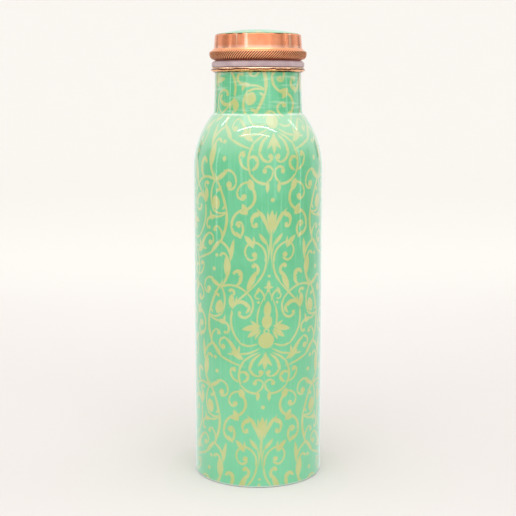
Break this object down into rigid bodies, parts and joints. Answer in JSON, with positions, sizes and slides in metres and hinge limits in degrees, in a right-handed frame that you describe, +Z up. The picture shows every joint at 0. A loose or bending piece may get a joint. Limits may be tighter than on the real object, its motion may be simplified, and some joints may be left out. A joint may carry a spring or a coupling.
{
  "type": "copper water bottle",
  "caption": "Copper water bottle with a straight printed body, a rounded shoulder and a screw cap that seals on a silicone ring.",
  "frame": {"origin": "centre of the foot that the bottle stands on", "axes": "+Z up along the bottle's axis, towards the cap; the bottle is round, so +X and +Y are free, with the print's lotus facing -Y"},
  "size_m": [0.076, 0.076, 0.2644],
  "materials": {
    "copper": "polished",
    "print": "gloss",
    "silicone": "satin",
    "solder": "satin"
  },
  "bodies": {
    "bottle": {"body_shell": "copper", "base_disc": "copper", "base_solder": "solder", "body_print": "print", "neck_print": "print", "mouth_ring": "copper", "neck_solder": "solder"},
    "seal": {"seal_ring": "silicone"},
    "cap": {"grip_ring": "copper", "cap_cup": "copper", "thread_sleeve": "copper", "cap_solder": "solder", "cap_print": "print"}
  },
  "joints": [
    {"name": "cap_rise", "type": "slide", "parent": "bottle", "child": "seal", "axis": [0, 0, 1], "range_m": [0, 0.01751]},
    {"name": "cap_turn", "type": "hinge", "parent": "seal", "child": "cap", "pos_m": [0, 0, 0.24], "axis": [0, 0, 1], "range_deg": [0, 1800]}
  ],
  "couplings": [
    {"joint": "cap_rise", "follows": "cap_turn", "m_per_rad": 0.00055704}
  ]
}
